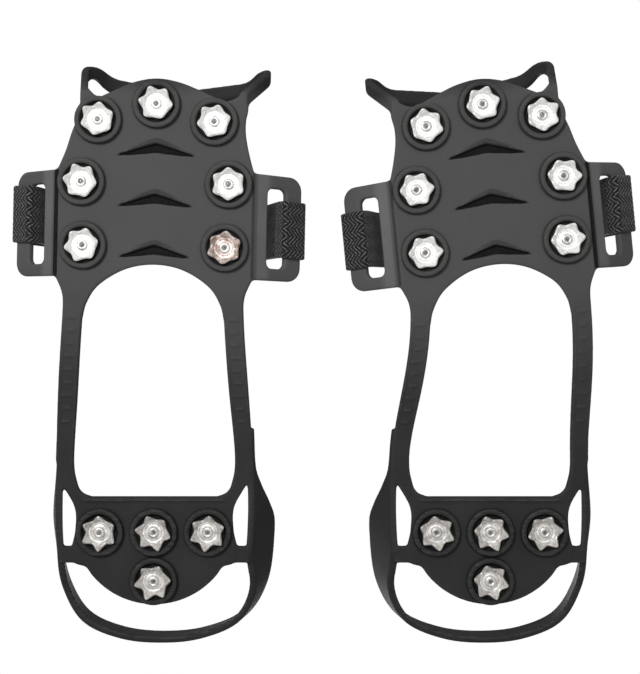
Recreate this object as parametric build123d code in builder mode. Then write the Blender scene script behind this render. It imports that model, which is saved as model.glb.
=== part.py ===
from build123d import *
from collections import namedtuple
from math import cos, radians, sin
import os

# A pair of ice cleats for shoes, standing on the tips of their studs.
# Millimetres. +Z is up, +Y points to the toes, z = 0 is the ground under the stud tips.
# Each cleat is drawn in its own plan: u runs from the outer side of the foot (-) to the
# inner side (+), and y runs from the heel (-) to the toes (+).

Foot = namedtuple("Foot", "name side middle_x yaw pivot_y")

# The pair
CLEAT_SPACING = 162.0
PAIR_MIDDLE_X = 1.07  # with REFERENCE_Y, centres the pair's box on the origin
REFERENCE_Y = 7.12  # the world y at which the cleats' own y is 0
RIGHT_FOREFOOT_YAW = 1.2  # each forefoot sits a little turned on its shoe
LEFT_FOREFOOT_YAW = -5.5
RIGHT_PIVOT_Y = 45.0  # the forefoot turns about this point of its middle line
LEFT_PIVOT_Y = 71.0
FEET = (
    Foot("right", 1, PAIR_MIDDLE_X + CLEAT_SPACING / 2, RIGHT_FOREFOOT_YAW, RIGHT_PIVOT_Y),
    Foot("left", -1, PAIR_MIDDLE_X - CLEAT_SPACING / 2, LEFT_FOREFOOT_YAW, LEFT_PIVOT_Y),
)
YAW_FULL_Y = 25.0  # in front of this the whole turn counts
YAW_NONE_Y = -60.0  # behind this there is none

# Heights
SOLE_Z = 6.2  # ground side of the rubber plate
PLATE_THICKNESS = 3.6
FOOT_Z = SOLE_Z + PLATE_THICKNESS
PLATE_MIDDLE_Z = SOLE_Z + PLATE_THICKNESS / 2
BOSS_FACE_Z = 3.2

# Bosses that carry the studs
BOSS_RADIUS = 11.3
DISH_RADIUS = 9.2
DISH_FLOOR_RADIUS = 7.9
DISH_FLOOR_Z = 5.6
WASHER_RADIUS = 5.6
WASHER_THICKNESS = 1.0
WASHER_Z = FOOT_Z - WASHER_THICKNESS - 0.1
RADIAL_GAP = 0.1

# Star studs, stamped from sheet steel
STUD_SHEET = 1.3
STUD_HUB_Z = 4.1
STUD_HUB_RADIUS = 4.7
STUD_CLAWS = 6
CLAW_WIDTH = 4.3
CLAW_REACH = 7.3
CLAW_TIP_LENGTH = 0.6

# Rivets
SHANK_RADIUS = 1.9
RIVET_HEAD_RADIUS = 2.7
RIVET_HEAD_HEIGHT = 0.8
RIVET_FLARE_HEIGHT = 0.5

STUD_PLACES = {
    "toe_middle": (0, 112),
    "toe_outer": (-28, 104),
    "toe_inner": (28, 104),
    "ball_outer": (-35.5, 74),
    "ball_inner": (35.5, 74),
    "arch_outer": (-34.2, 43.5),
    "arch_inner": (34.2, 43.5),
    "heel_outer": (-26, -94),
    "heel_middle": (0, -94),
    "heel_inner": (26, -94),
    "heel_rear": (0, -117.5),
}

# Forefoot plate, long arms and heel plate in plan
NOSE_POINTS = [(-19.6, 119.3), (-10.1, 123.3), (0, 124.9), (10, 123.4), (19, 120.2)]
OUTER_VALLEY = (-27.7, 115.5)
INNER_VALLEY = (32.5, 114.2)
OUTER_SIDE_POINTS = [(-37.4, 112), (-38.2, 105.9), (-41.1, 97.8), (-43.8, 89)]
INNER_SIDE_POINTS = [(44, 112), (43, 105), (43.2, 98), (45, 89)]
OUTER_ARM_ROOT = (-33.5, 119.5)
INNER_ARM_ROOT = (41.5, 118.5)
HINGE_U = 47.5
EAR_FRONT_Y = 80.0
EAR_REAR_Y = 28.5
ARM_OUTER_POINTS = [(44, 19.5), (43.9, 8), (45.9, -24.6), (47.6, -59)]
STRAND_POINTS = [(45.6, -69), (38.6, -82), (38.2, -93), (39.8, -102), (38, -109), (33.2, -111)]
HEEL_ARC_REAR_Y = -129.0
HEEL_ARC_END = (30.3, -114.7)
WINDOW_ARCH = [(34.3, 8), (32.3, 16), (26.5, 24.7), (14, 32.4), (0, 34.9)]
WINDOW_SIDE = [(36.4, -24.6), (38.9, -58)]
WINDOW_CORNER = [(30.5, -77), (34.9, -75), (37.4, -70.3)]

# Ears with their strap slots, bent up along a groove
EAR_ANGLE = 35.0
EAR_LENGTH = 27.0
EAR_CORNER = 7.0
SLOT_START = 7.3
SLOT_END = 17.6
SLOT_FRONT_Y = 73.5
SLOT_REAR_Y = 34.5
SLOT_CORNER = 2.5

# Toe band: its line seen from the front, (u, z), and from the side, (y, z)
TOE_BAND_THICKNESS = 3.6
TOE_BAND_WIDTH = 6.4
TOE_FRONT_LINE = [(-35, 5), (-41, 35), (-31.5, 53), (5, 61), (42, 54), (53, 37), (40.9, 5)]
TOE_SIDE_LINE = [(113, 3), (136.5, 42), (124, 64)]
TOE_FILLET = 13.0

# Heel band: its outer line in plan, (u, y), low down and high up, and its lower and upper
# edges seen from the side, (y, z). It leans outwards, most on the inner side of the foot.
HEEL_BAND_THICKNESS = 3.4
HEEL_LINE_Z = 50.0
HEEL_LOW_HALF = [(44.4, -36), (45.4, -80), (45.2, -102), (43.5, -124), (36, -141), (18.5, -149.5)]
HEEL_LOW_REAR = (0, -151.5)
HEEL_HIGH_INNER = [(66, -36), (68, -80), (63.5, -102), (55.5, -126), (42.5, -144), (22, -153)]
HEEL_HIGH_OUTER = [(-58.5, -36), (-60.5, -80), (-58, -102), (-52, -126), (-41, -144), (-22, -153)]
HEEL_HIGH_REAR = (0, -155.5)
HEEL_LOWER_EDGE = [(-44, SOLE_Z), (-103, SOLE_Z), (-112, 10), (-130, 23), (-160, 31)]
HEEL_UPPER_EDGE = [
    (-160, 49), (-138, 45), (-113, 37), (-92, 30), (-82, 23), (-72, 15), (-62, FOOT_Z), (-44, FOOT_Z)
]
WING_CORNERS = ((34, -109.0), (46, -101.0))

# Instep strap, hook-and-loop webbing
STRAP_WIDTH = 28.0
STRAP_MIDDLE_Y = 56.5
STRAP_SLANT = 2.3  # degrees, which bring its outer end forwards
STRAP_THICKNESS = 1.6
STRAP_CLEARANCE = 0.4
WRAP_FILLET = 1.6
SEWN_END = (63.2, 41.0)  # (u, z), as is the tail's start
TAIL_START = (-69.5, 28.2)
PAD_THICKNESS = 0.8
PEEL_GAP = 0.3

# The strap's arch over the instep: circles about one centre, angles from the inner side
ARCH_CENTRE_Z = 22.0
ARCH_RADIUS = 58.0
LOOP_RADIUS = ARCH_RADIUS + STRAP_THICKNESS / 2 + PAD_THICKNESS / 2
HOOK_RADIUS = LOOP_RADIUS + PAD_THICKNESS + PEEL_GAP
TAIL_RADIUS = HOOK_RADIUS + PAD_THICKNESS / 2 + STRAP_THICKNESS / 2
INNER_TANGENT_ANGLE = 36.8
OUTER_LEG_ANGLE = 176.0
TAIL_TANGENT_ANGLE = 146.5
TAIL_END_ANGLE = 97.0
PAD_START_ANGLE = 143.0
HOOK_PAD_END_ANGLE = 101.0
LOOP_PAD_END_ANGLE = 76.0


def yaw_at(foot, y):
    """The turn of the plan at y, easing from none at the heel to the whole at the forefoot."""
    part_way = min(max((y - YAW_NONE_Y) / (YAW_FULL_Y - YAW_NONE_Y), 0), 1)
    return radians(foot.yaw) * part_way * part_way * (3 - 2 * part_way)


def placed(foot, u, y):
    """A point of one cleat's plan in the plan of the pair."""
    turn = yaw_at(foot, y)
    across = -foot.side * u
    ahead = y - foot.pivot_y
    x = foot.middle_x + across * cos(turn) - ahead * sin(turn)
    y_turned = foot.pivot_y + across * sin(turn) + ahead * cos(turn)
    return (x, REFERENCE_Y + y_turned)


def placed_all(foot, points):
    return [placed(foot, u, y) for u, y in points]


def mirrored(points):
    return [(-u, y) for u, y in points]


def forefoot_axes(foot):
    """The forefoot's origin on the ground, its sideways axis and its forward axis."""
    turn = radians(foot.yaw)
    across = Vector(cos(turn), sin(turn), 0)
    ahead = Vector(-sin(turn), cos(turn), 0)
    pivot = Vector(foot.middle_x, REFERENCE_Y + foot.pivot_y, 0)
    return pivot - ahead * foot.pivot_y, across, ahead


def front_plane(foot, y):
    """A vertical plane across the forefoot at y: x across the foot, y upwards."""
    origin, across, ahead = forefoot_axes(foot)
    return Plane(origin=origin + ahead * y, x_dir=across, z_dir=-ahead)


def side_plane(foot):
    """The vertical plane along the forefoot's middle: x forwards, y upwards."""
    origin, across, ahead = forefoot_axes(foot)
    return Plane(origin=origin, x_dir=ahead, z_dir=across)


def across_foot(foot, points):
    """Points whose first value is u, with u turned into the world's x direction."""
    return [(-foot.side * u, other) for u, other in points]


def outline_edges(foot):
    """The closed outer outline of the flat rubber, from the nose round by the inner side."""
    ear_front_in = (HINGE_U, EAR_FRONT_Y)
    ear_rear_in = (HINGE_U, EAR_REAR_Y)
    ear_front_out = (-HINGE_U, EAR_FRONT_Y)
    ear_rear_out = (-HINGE_U, EAR_REAR_Y)
    inner_heel = [ARM_OUTER_POINTS[-1], *STRAND_POINTS, HEEL_ARC_END]
    outer_heel = mirrored(inner_heel)[::-1]
    nose = [OUTER_VALLEY, *NOSE_POINTS, INNER_VALLEY]
    Spline(*placed_all(foot, nose))
    Spline(*placed_all(foot, [INNER_VALLEY, (37, 115.6), INNER_ARM_ROOT]))
    Spline(*placed_all(foot, [INNER_ARM_ROOT, *INNER_SIDE_POINTS, ear_front_in]))
    Polyline(*placed_all(foot, [ear_front_in, ear_rear_in]))
    Spline(*placed_all(foot, [ear_rear_in, *ARM_OUTER_POINTS]))
    Spline(*placed_all(foot, inner_heel))
    rear = placed_all(foot, [HEEL_ARC_END, (0, HEEL_ARC_REAR_Y), mirrored([HEEL_ARC_END])[0]])
    ThreePointArc(*rear)
    Spline(*placed_all(foot, outer_heel))
    outer_arm = mirrored([ear_rear_in, *ARM_OUTER_POINTS])[::-1]
    Spline(*placed_all(foot, outer_arm))
    Polyline(*placed_all(foot, [ear_rear_out, ear_front_out]))
    outer_side = [ear_front_out, *OUTER_SIDE_POINTS[::-1], OUTER_ARM_ROOT]
    Spline(*placed_all(foot, outer_side))
    Spline(*placed_all(foot, [OUTER_ARM_ROOT, (-30.5, 116.6), OUTER_VALLEY]))


def window_edges(foot):
    """The window between the forefoot plate, the long arms and the heel plate."""
    arch = [*WINDOW_ARCH, *mirrored(WINDOW_ARCH[:-1])[::-1]]
    inner_side = [*WINDOW_CORNER, *WINDOW_SIDE[::-1], WINDOW_ARCH[0]]
    rear_edge = [*mirrored(WINDOW_CORNER[:1]), WINDOW_CORNER[0]]
    Spline(*placed_all(foot, arch))
    Spline(*placed_all(foot, mirrored(inner_side)[::-1]))
    Polyline(*placed_all(foot, rear_edge))
    Spline(*placed_all(foot, inner_side))


def toe_band(foot):
    """The band over the toe cap: an arch seen from the front, leaning forwards as it rises."""
    with BuildPart() as band:
        with BuildSketch(front_plane(foot, 160)):
            with BuildLine():
                FilletPolyline(*across_foot(foot, TOE_FRONT_LINE), radius=TOE_FILLET)
            trace(line_width=TOE_BAND_THICKNESS)
        extrude(amount=60)
        with BuildSketch(side_plane(foot)):
            with BuildLine():
                FilletPolyline(*TOE_SIDE_LINE, radius=TOE_FILLET)
            trace(line_width=TOE_BAND_WIDTH)
        extrude(amount=80, both=True, mode=Mode.INTERSECT)
        split(bisect_by=Plane.XY.offset(SOLE_Z), keep=Keep.TOP)
    return band.part


def heel_band(foot):
    """The band round the back of the heel, rising from the long arms, and its two wings."""
    ground = Plane((foot.middle_x, REFERENCE_Y, 0))
    along = Plane(origin=ground.origin, x_dir=(0, 1, 0), z_dir=(1, 0, 0))
    low_rim = [*HEEL_LOW_HALF, HEEL_LOW_REAR, *mirrored(HEEL_LOW_HALF)[::-1]]
    high_rim = [*HEEL_HIGH_INNER, HEEL_HIGH_REAR, *HEEL_HIGH_OUTER[::-1]]
    with BuildPart() as band:
        for inset, mode in ((0, Mode.ADD), (HEEL_BAND_THICKNESS, Mode.SUBTRACT)):
            for plane, rim in ((ground, low_rim), (ground.offset(HEEL_LINE_Z), high_rim)):
                with BuildSketch(plane):
                    with BuildLine():
                        Spline(*across_foot(foot, rim))
                        Polyline(*across_foot(foot, [rim[-1], rim[0]]))
                    make_face()
                    if inset:
                        offset(amount=-inset)
            loft(mode=mode)
        with BuildSketch(along):
            with BuildLine():
                Polyline(*HEEL_LOWER_EDGE, *HEEL_UPPER_EDGE, close=True)
            make_face()
        extrude(amount=80, both=True, mode=Mode.INTERSECT)
        (near_u, rear_y), (far_u, front_y) = WING_CORNERS
        with BuildSketch(ground.offset(SOLE_Z)):
            with Locations(*[(sign * (near_u + far_u) / 2, (front_y + rear_y) / 2) for sign in (-1, 1)]):
                Rectangle(far_u - near_u, front_y - rear_y)
        extrude(amount=PLATE_THICKNESS)
    return band.part


def ear_plane(foot, side):
    """The middle plane of an ear: x outwards from the groove, y towards the toes."""
    origin, across, ahead = forefoot_axes(foot)
    hinge = origin + across * side * HINGE_U + Vector(0, 0, PLATE_MIDDLE_Z)
    outwards = across * side * cos(radians(EAR_ANGLE)) + Vector(0, 0, sin(radians(EAR_ANGLE)))
    return Plane(origin=hinge, x_dir=outwards, z_dir=outwards.cross(ahead))


def ear(foot, side):
    """One ear: a rounded plate with the strap slot."""
    length = EAR_FRONT_Y - EAR_REAR_Y
    middle = (EAR_FRONT_Y + EAR_REAR_Y) / 2
    slot_middle = ((SLOT_START + SLOT_END) / 2, (SLOT_FRONT_Y + SLOT_REAR_Y) / 2)
    with BuildPart() as plate:
        with BuildSketch(ear_plane(foot, side)):
            with Locations((EAR_LENGTH / 2, middle)):
                RectangleRounded(EAR_LENGTH, length, EAR_CORNER)
            with Locations((EAR_LENGTH / 4, middle)):
                Rectangle(EAR_LENGTH / 2, length)
            with Locations(slot_middle):
                RectangleRounded(
                    SLOT_END - SLOT_START,
                    SLOT_FRONT_Y - SLOT_REAR_Y,
                    SLOT_CORNER,
                    mode=Mode.SUBTRACT,
                )
        extrude(amount=PLATE_THICKNESS / 2, both=True)
    return plate.part


def harness(foot):
    """The one-piece rubber moulding."""
    places = placed_all(foot, STUD_PLACES.values())
    bands = [toe_band(foot), heel_band(foot), ear(foot, -1), ear(foot, 1)]
    with BuildPart() as rubber:
        with BuildSketch(Plane.XY.offset(SOLE_Z)):
            with BuildLine():
                outline_edges(foot)
            make_face()
            with BuildLine():
                window_edges(foot)
            make_face(mode=Mode.SUBTRACT)
        extrude(amount=PLATE_THICKNESS)
        for band in bands:
            add(band)
        with BuildSketch(Plane.XY.offset(BOSS_FACE_Z)):
            with Locations(*places):
                Circle(BOSS_RADIUS)
        extrude(amount=PLATE_MIDDLE_Z - BOSS_FACE_Z)
        with Locations(*[(x, y, BOSS_FACE_Z) for x, y in places]):
            Cone(
                DISH_RADIUS,
                DISH_FLOOR_RADIUS,
                DISH_FLOOR_Z - BOSS_FACE_Z,
                align=(Align.CENTER, Align.CENTER, Align.MIN),
                mode=Mode.SUBTRACT,
            )
        with BuildSketch(Plane.XY.offset(WASHER_Z - RADIAL_GAP)):
            with Locations(*places):
                Circle(WASHER_RADIUS + RADIAL_GAP)
        extrude(amount=PLATE_THICKNESS, mode=Mode.SUBTRACT)
        with BuildSketch(Plane.XY.offset(BOSS_FACE_Z)):
            with Locations(*places):
                Circle(SHANK_RADIUS + RADIAL_GAP)
        extrude(amount=FOOT_Z - BOSS_FACE_Z, mode=Mode.SUBTRACT)
    return rubber


def stud(x, y):
    """A star stud: a hub with six claws bent down to the ground."""
    hub_top = STUD_HUB_Z + STUD_SHEET
    with BuildPart() as star:
        with BuildSketch(Plane.XY.offset(STUD_HUB_Z)):
            with Locations((x, y)):
                Circle(STUD_HUB_RADIUS)
                with PolarLocations(CLAW_REACH / 2, STUD_CLAWS):
                    Rectangle(CLAW_REACH, CLAW_WIDTH)
                Circle(SHANK_RADIUS + RADIAL_GAP, mode=Mode.SUBTRACT)
        extrude(amount=STUD_SHEET)
        for turn in range(STUD_CLAWS):
            angle = 360 / STUD_CLAWS * turn
            direction = Vector(1, 0, 0).rotate(Axis.Z, angle)
            edge_place = Vector(x, y, 0) + direction * (CLAW_REACH - STUD_SHEET / 2)
            claw = Plane(origin=edge_place + Vector(0, 0, hub_top), x_dir=direction, z_dir=(0, 0, 1))
            with BuildSketch(claw.offset(-STUD_SHEET / 2)):
                Rectangle(STUD_SHEET, CLAW_WIDTH)
            with BuildSketch(claw.offset(-hub_top)):
                with Locations((STUD_SHEET / 4, 0)):
                    Rectangle(STUD_SHEET / 2, CLAW_TIP_LENGTH)
            loft()
    return star


def washers(places):
    with BuildPart() as rings:
        with BuildSketch(Plane.XY.offset(WASHER_Z)):
            with Locations(*places):
                Circle(WASHER_RADIUS)
                Circle(SHANK_RADIUS + RADIAL_GAP, mode=Mode.SUBTRACT)
        extrude(amount=WASHER_THICKNESS)
    return rings


def rivets(places):
    """Rivets: a head under each stud's hub, a shank through the rubber, a flare on the washer."""
    head_bottom = STUD_HUB_Z - RIVET_HEAD_HEIGHT
    washer_top = WASHER_Z + WASHER_THICKNESS
    with BuildPart() as pins:
        with BuildSketch(Plane.XY.offset(head_bottom)):
            with Locations(*places):
                Circle(RIVET_HEAD_RADIUS)
        extrude(amount=RIVET_HEAD_HEIGHT)
        with BuildSketch(Plane.XY.offset(STUD_HUB_Z)):
            with Locations(*places):
                Circle(SHANK_RADIUS)
        extrude(amount=washer_top - STUD_HUB_Z)
        with BuildSketch(Plane.XY.offset(washer_top)):
            with Locations(*places):
                Circle(RIVET_HEAD_RADIUS)
        extrude(amount=RIVET_FLARE_HEIGHT)
    return pins


def ear_point(along, above):
    """A point (u, z) in the inner ear's section: along from the groove, above its middle plane."""
    angle = radians(EAR_ANGLE)
    u = HINGE_U + along * cos(angle) - above * sin(angle)
    return (u, PLATE_MIDDLE_Z + along * sin(angle) + above * cos(angle))


def wrap_corners():
    """The strap's way round the inner ear's bar: down through the slot, under it and up."""
    standoff = PLATE_THICKNESS / 2 + STRAP_CLEARANCE + STRAP_THICKNESS / 2
    through = SLOT_END - STRAP_CLEARANCE - STRAP_THICKNESS / 2
    past = EAR_LENGTH + STRAP_CLEARANCE + STRAP_THICKNESS / 2
    corners = [(through, standoff), (through, -standoff), (past, -standoff), (past, standoff)]
    return [ear_point(*corner) for corner in corners]


def on_arch(radius, angle):
    """A point (u, z) on a circle about the strap arch's centre, angle from the inner side."""
    turn = radians(angle)
    return (radius * cos(turn), ARCH_CENTRE_Z + radius * sin(turn))


def strap_solid(foot, draw_line, thickness):
    """Webbing of the strap's width that follows a line drawn across the foot at a slant."""
    origin, across, ahead = forefoot_axes(foot)
    slant = foot.side * STRAP_SLANT
    section = Plane(
        origin=origin + ahead * (STRAP_MIDDLE_Y - STRAP_WIDTH / 2),
        x_dir=across.rotate(Axis.Z, slant),
        z_dir=-ahead.rotate(Axis.Z, slant),
    )
    with BuildPart() as webbing:
        with BuildSketch(section):
            with BuildLine():
                draw_line(foot)
            trace(line_width=thickness)
        extrude(amount=STRAP_WIDTH, dir=ahead)
    return webbing


def arch_arc(foot, radius, start_angle, end_angle):
    """An arc about the strap arch's centre, in the coordinates of a front plane."""
    angles = (start_angle, (start_angle + end_angle) / 2, end_angle)
    ThreePointArc(*across_foot(foot, [on_arch(radius, angle) for angle in angles]))


def strap_line(foot):
    """Sewn end, round the inner ear's bar, over the instep and round the outer ear's bar."""
    inner = [SEWN_END, *wrap_corners(), on_arch(ARCH_RADIUS, INNER_TANGENT_ANGLE)]
    outer = [on_arch(ARCH_RADIUS, OUTER_LEG_ANGLE), *mirrored(wrap_corners())]
    FilletPolyline(*across_foot(foot, inner), radius=WRAP_FILLET)
    arch_arc(foot, ARCH_RADIUS, INNER_TANGENT_ANGLE, OUTER_LEG_ANGLE)
    FilletPolyline(*across_foot(foot, outer), radius=WRAP_FILLET)


def tail_line(foot):
    """The free end, up from the outer ear and back over the strap."""
    Polyline(*across_foot(foot, [TAIL_START, on_arch(TAIL_RADIUS, TAIL_TANGENT_ANGLE)]))
    arch_arc(foot, TAIL_RADIUS, TAIL_TANGENT_ANGLE, TAIL_END_ANGLE)


def loop_pad_line(foot):
    arch_arc(foot, LOOP_RADIUS, PAD_START_ANGLE, LOOP_PAD_END_ANGLE)


def hook_pad_line(foot):
    arch_arc(foot, HOOK_RADIUS, PAD_START_ANGLE, HOOK_PAD_END_ANGLE)


def write(piece, name):
    piece.part.label = name
    export_step(piece.part, f"parts/{name}.step")


os.makedirs("parts", exist_ok=True)
for foot in FEET:
    places = placed_all(foot, STUD_PLACES.values())
    write(harness(foot), f"{foot.name}_harness")
    for place_name, place in zip(STUD_PLACES, places):
        write(stud(*place), f"{foot.name}_stud_{place_name}")
    write(rivets(places), f"{foot.name}_rivets")
    write(washers(places), f"{foot.name}_washers")
    write(strap_solid(foot, strap_line, STRAP_THICKNESS), f"{foot.name}_strap")
    write(strap_solid(foot, tail_line, STRAP_THICKNESS), f"{foot.name}_strap_tail")
    write(strap_solid(foot, loop_pad_line, PAD_THICKNESS), f"{foot.name}_loop_pad")
    write(strap_solid(foot, hook_pad_line, PAD_THICKNESS), f"{foot.name}_hook_pad")
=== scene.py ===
"""A pair of ice cleats for shoes: rubber harnesses, star studs, rivets and instep straps."""

import math

import bpy
import numpy as np
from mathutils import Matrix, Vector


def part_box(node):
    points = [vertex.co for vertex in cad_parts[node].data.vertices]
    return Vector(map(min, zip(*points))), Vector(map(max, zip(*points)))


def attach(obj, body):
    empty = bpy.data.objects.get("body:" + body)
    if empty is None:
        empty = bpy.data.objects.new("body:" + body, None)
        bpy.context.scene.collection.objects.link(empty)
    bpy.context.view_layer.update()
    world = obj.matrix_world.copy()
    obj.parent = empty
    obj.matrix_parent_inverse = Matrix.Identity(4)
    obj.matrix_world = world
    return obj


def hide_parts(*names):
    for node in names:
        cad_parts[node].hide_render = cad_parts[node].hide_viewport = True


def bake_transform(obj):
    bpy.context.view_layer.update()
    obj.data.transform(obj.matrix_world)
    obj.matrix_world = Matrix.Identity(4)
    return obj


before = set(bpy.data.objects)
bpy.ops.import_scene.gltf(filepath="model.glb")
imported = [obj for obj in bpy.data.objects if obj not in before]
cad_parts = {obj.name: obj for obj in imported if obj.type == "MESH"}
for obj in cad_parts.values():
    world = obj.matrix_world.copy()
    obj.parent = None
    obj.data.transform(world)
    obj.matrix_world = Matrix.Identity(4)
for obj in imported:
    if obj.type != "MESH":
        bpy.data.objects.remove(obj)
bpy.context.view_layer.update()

import openvdb
from mathutils import Vector

# Lengths below are in millimetres, and MM turns them into the frame's metres. Each harness is
# drawn in its own plan: u from the outer side of the foot (-) to the inner side (+), y from
# the heel (-) to the toes (+), z up from the ground under the studs.
MM = 0.001

# Feet
SIDES = {"right": 1, "left": -1}
YAWS = {"right": math.radians(1.2), "left": math.radians(-5.5)}  # each forefoot is a little turned
YAW_PIVOTS_Y = {"right": 45.0, "left": 71.0}
YAW_NONE_Y = -60.0
YAW_FULL_Y = 25.0
HEEL_STUD_Y = -94.0  # the middle heel stud, which places each cleat in the frame

# Heights of the plate
SOLE_Z = 6.2
FOOT_Z = 9.8
MIDDLE_Z = (SOLE_Z + FOOT_Z) / 2
EDGE_ROUNDING = 1.1

# Flat outline
NOSE = [
    (-27.7, 115.5), (-19.6, 119.3), (-10.1, 123.3), (0, 124.9), (10, 123.4), (19, 120.2),
    (32.5, 114.2),
]
INNER_ROOT = [(32.5, 114.2), (37, 115.6), (41.5, 118.5)]
INNER_SIDE = [(41.5, 118.5), (44, 112), (43, 105), (43.2, 98), (45, 89), (47.5, 80)]
OUTER_SIDE = [(-47.5, 80), (-43.8, 89), (-41.1, 97.8), (-38.2, 105.9), (-37.4, 112), (-33.5, 119.5)]
OUTER_ROOT = [(-33.5, 119.5), (-30.5, 116.6), (-27.7, 115.5)]
LONG_ARM = [(47.5, 28.5), (44, 19.5), (43.9, 8), (45.9, -24.6), (47.6, -59)]
HEEL_STRAND = [
    (47.6, -59), (45.6, -69), (38.6, -82), (38.2, -93), (39.8, -102), (38, -109), (33.2, -111),
    (30.3, -114.7),
]
HEEL_ARC_CENTRE_Y = -90.0
HEEL_ARC_RADIUS = 39.1
WINDOW_ARCH = [(34.3, 8), (32.3, 16), (26.5, 24.7), (14, 32.4), (0, 34.9)]
WINDOW_SIDE = [(30.5, -77), (34.9, -75), (37.4, -70.3), (38.9, -58), (36.4, -24.6), (34.3, 8)]

# Ears, bent up along a groove
HINGE_U = 47.5
EAR_ANGLE = math.radians(35)
EAR_LENGTH = 27.0
EAR_REAR_Y = 28.5
EAR_FRONT_Y = 80.0
EAR_CORNER = 7.0
SLOT_START = 7.3
SLOT_END = 17.6
SLOT_REAR_Y = 34.5
SLOT_FRONT_Y = 73.5
SLOT_CORNER = 3.0
GROOVE_RADIUS = 0.75
GROOVE_SHIFT = 0.1  # outwards from the hinge line
GROOVE_HALF_LENGTH = 25.2

# Toe band, seen from the front (u, z) and from the side (y, z)
TOE_FRONT_LINE = [(-35, 5), (-41, 35), (-31.5, 53), (5, 61), (42, 54), (53, 37), (40.9, 5)]
TOE_SIDE_LINE = [(113, 3), (136.5, 42), (124, 64)]
TOE_FILLET = 13.0
TOE_HALF_THICKNESS = 1.8
TOE_HALF_WIDTH = 3.2

# Heel band: its outer line low down and at HEEL_LINE_Z, and its edges from the side (y, z)
HEEL_LINE_Z = 50.0
HEEL_THICKNESS = 3.4
HEEL_LOW_HALF = [
    (44.4, 10), (44.4, -36), (45.4, -80), (45.2, -102), (43.5, -124), (36, -141), (18.5, -149.5),
]
HEEL_LOW = [*HEEL_LOW_HALF, (0, -151.5), *[(-u, y) for u, y in HEEL_LOW_HALF[::-1]]]
HEEL_HIGH = [
    (66, 10), (66, -36), (68, -80), (63.5, -102), (55.5, -126), (42.5, -144), (22, -153),
    (0, -155.5),
    (-22, -153), (-41, -144), (-52, -126), (-58, -102), (-60.5, -80), (-58.5, -36), (-58.5, 10),
]
HEEL_LOWER_EDGE = [(-44, 6.2), (-80, 6.2), (-103, 6.2), (-112, 10), (-130, 23), (-160, 31)]
HEEL_UPPER_EDGE = [
    (-160, 49), (-138, 45), (-113, 37), (-92, 30), (-82, 23), (-72, 15), (-62, 9.8), (-44, 9.8),
]
WING_NEAR_U, WING_FAR_U = 34.0, 46.0
WING_REAR_Y, WING_FRONT_Y = -109.0, -101.0

# Bosses, washers and studs
BOSS_FACE_Z = 3.2
BOSS_RADIUS = 11.3
DISH_RADIUS = 9.2
DISH_FLOOR_RADIUS = 7.9
DISH_FLOOR_Z = 5.6
# Radius of the painted shade in the dish round each stud.
DISH_PAINTED_SHADE_RADIUS = 8.9
WASHER_SEAT_RADIUS = 5.7
WASHER_SEAT_Z = 8.6
RIVET_HOLE_RADIUS = 2.0
HUB_Z = 4.75  # middle of the stud's sheet
STUD_SHEET = 1.2

# Raised chevrons under the forefoot, each with a recess behind its edge
CHEVRON_ENDS_Y = (87.2, 62.8, 38.2)
CHEVRON_HALF_WIDTHS = (19.5, 18.6, 17.6)
CHEVRON_RISE = 6.3
CHEVRON_ARC_RISE = 1.6
CHEVRON_FACET = 2.9
CHEVRON_DEPTH = 2.0
CHEVRON_LIP = 1.15
CHEVRON_SOFTNESS = 1.2

# Small ribs along the long arms, and the lip at the front of the heel plate
RIB_COUNT = 9
RIB_FIRST_Y = 9.0
RIB_PITCH = -6.2
RIB_HEIGHT = 0.55
RIB_HALF_WIDTH = 0.9
RIB_HALF_LENGTHS = (2.7, 1.9, 1.9)  # repeated along the arm
RIB_FRAME_OUT = 3.9
RIB_FRAME_HEIGHT = 0.3
HEEL_LIP_Y = -78.6
HEEL_LIP_HEIGHT = 0.8
HEEL_LIP_SPREAD = 0.8
HEEL_LIP_HALF_LENGTH = 34.0

# Straps
STRAP_MIDDLE_Y = 56.5
STRAP_WIDTH = 28.0
STRAP_SLANT = math.sin(math.radians(2.3))  # its outer end lies further forwards
STRAP_THICKNESS = 1.6
PAD_THICKNESS = 0.8
ARCH_RADIUS = 58.0
ARCH_CENTRE_Z = 22.0
ARCH_ANGLES = (36.8, 176.0)  # degrees, from the inner side over the instep to the outer side
LOOP_RADIUS = 59.2
LOOP_ANGLES = (143, 76)
HOOK_RADIUS = 60.3
HOOK_ANGLES = (143, 101)
TAIL_RADIUS = 61.5
TAIL_ANGLES = (146.5, 97.0)
PAD_WIDTH = STRAP_WIDTH - 1.6
LOOP_STITCH_ANGLES = (76.5, 96)
STRAP_STITCH_END = 76
TAIL_STITCH_ANGLES = (143, 98)
STITCH_ROW_INSET = 2.4
STITCH_LENGTH = 2.7
STITCH_GAP = 0.9
STITCH_RADIUS = 0.28
SEWN_END = (63.2, 41.0)
WRAP_STANDOFF = 3.0
WRAP_IN = 16.4
WRAP_OUT = 28.2
WRAP_FILLET = 1.6
TAIL_START = (-69.5, 28.2)

# Sampling
VOXEL = 0.6
FAR = 3.0
GRID_LOW = (-73.0, -160.0, 1.8)
GRID_HIGH = (73.0, 146.0, 67.2)
WEBBING_STEP = 0.5
STITCH_STEP = 0.3
WEAR_SMOOTHINGS = 2


# ---------------------------------------------------------------- placing


def heel_place(foot):
    """The place of a cleat's own origin in the frame, in millimetres."""
    low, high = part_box(f"{foot}_stud_heel_middle")
    middle = (low + high) / 2 / MM
    return middle.x, middle.y - HEEL_STUD_Y


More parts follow.
